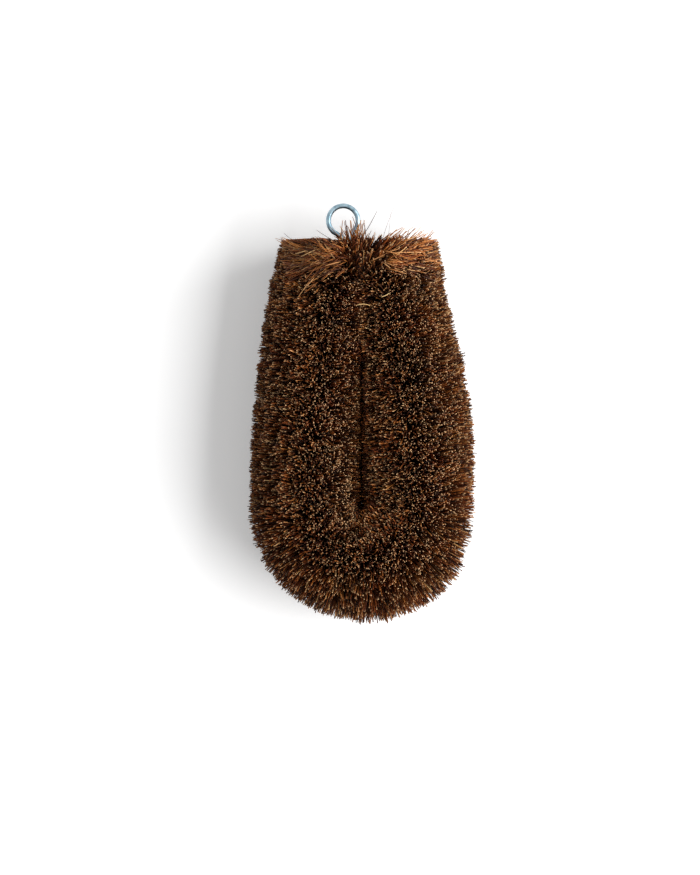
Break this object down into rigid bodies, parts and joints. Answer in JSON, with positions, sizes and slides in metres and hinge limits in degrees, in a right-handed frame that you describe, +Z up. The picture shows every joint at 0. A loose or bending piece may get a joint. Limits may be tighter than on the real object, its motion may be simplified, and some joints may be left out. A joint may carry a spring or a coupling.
{
  "type": "palm fibre brush",
  "caption": "Twisted-wire scrubbing brush of stiff brown palm fibre, bent to a thick U, its ends tied together under a round wire hanging eye.",
  "frame": {"origin": "centre of the whole brush's footprint, on the surface that it lies on", "axes": "+Y along the brush from the bend to the hanging eye, +X across it to the right as seen from above, +Z up through its thickness"},
  "size_m": [0.09, 0.1664, 0.0484],
  "materials": {
    "palm_fibre": "stiff raw brown palm fibre, cut square at the tips, dull with a faint sheen along each fibre",
    "galvanised_wire": "bluish zinc coat, satin, drawn round wire"
  },
  "bodies": {
    "root": {"hanging_eye": "galvanised_wire", "core_strand_a": "galvanised_wire", "core_strand_b": "galvanised_wire", "left_leg_tuft_1": "palm_fibre", "left_leg_tuft_2": "palm_fibre", "left_leg_tuft_3": "palm_fibre", "left_leg_tuft_4": "palm_fibre", "left_leg_tuft_5": "palm_fibre", "left_leg_tuft_6": "palm_fibre", "left_leg_tuft_7": "palm_fibre", "left_leg_tuft_8": "palm_fibre", "bend_tuft_1": "palm_fibre", "bend_tuft_2": "palm_fibre", "bend_tuft_3": "palm_fibre", "bend_tuft_4": "palm_fibre", "bend_tuft_5": "palm_fibre", "bend_tuft_6": "palm_fibre", "right_leg_tuft_1": "palm_fibre", "right_leg_tuft_2": "palm_fibre", "right_leg_tuft_3": "palm_fibre", "right_leg_tuft_4": "palm_fibre", "right_leg_tuft_5": "palm_fibre", "right_leg_tuft_6": "palm_fibre", "right_leg_tuft_7": "palm_fibre", "right_leg_tuft_8": "palm_fibre", "left_end_tuft": "palm_fibre", "right_end_tuft": "palm_fibre"}
  },
  "joints": []
}
